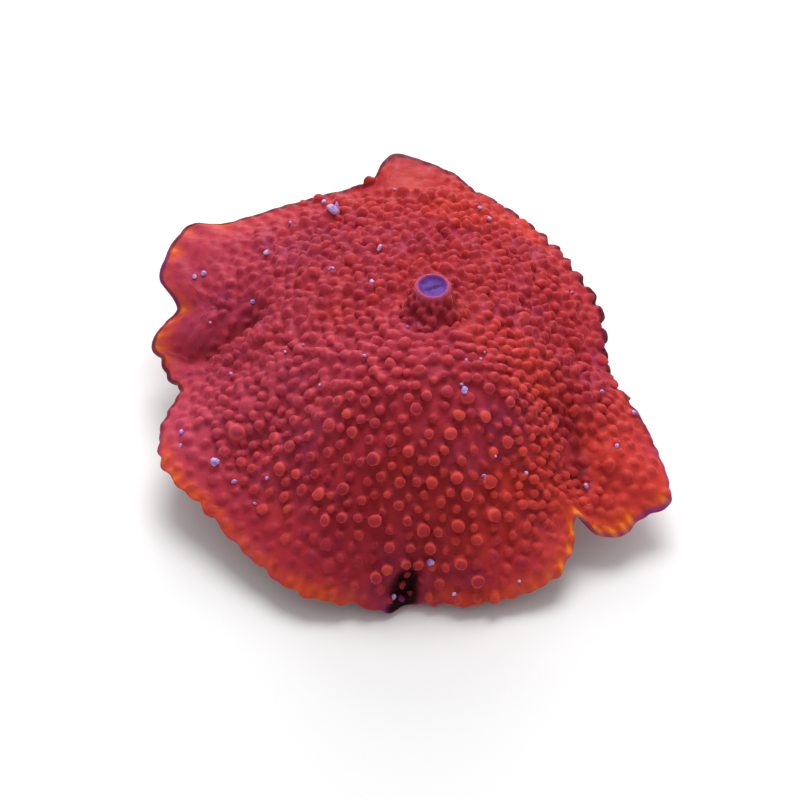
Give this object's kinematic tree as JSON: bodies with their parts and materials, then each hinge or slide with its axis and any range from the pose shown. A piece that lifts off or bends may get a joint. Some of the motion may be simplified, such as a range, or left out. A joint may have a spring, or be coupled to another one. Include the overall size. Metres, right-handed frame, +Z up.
{
  "type": "mushroom coral",
  "caption": "Soft mushroom coral: a broad, folded, warty red disc with a raised mouth, drooping over a short stalk that is cut off flat to stand on.",
  "frame": {"origin": "centre of the flat cut under the stalk", "axes": "+Z up out of the cut, through the stalk; -Y to the low front of the disc, the side that the picture looks at; +X to the picture's right"},
  "size_m": [0.0731, 0.0729, 0.0291],
  "materials": {
    "tissue": "soft, wet-looking flesh, crimson with an orange margin and a violet mouth",
    "grain": "matt, chalky"
  },
  "bodies": {
    "root": {"polyp": "tissue"}
  },
  "joints": []
}
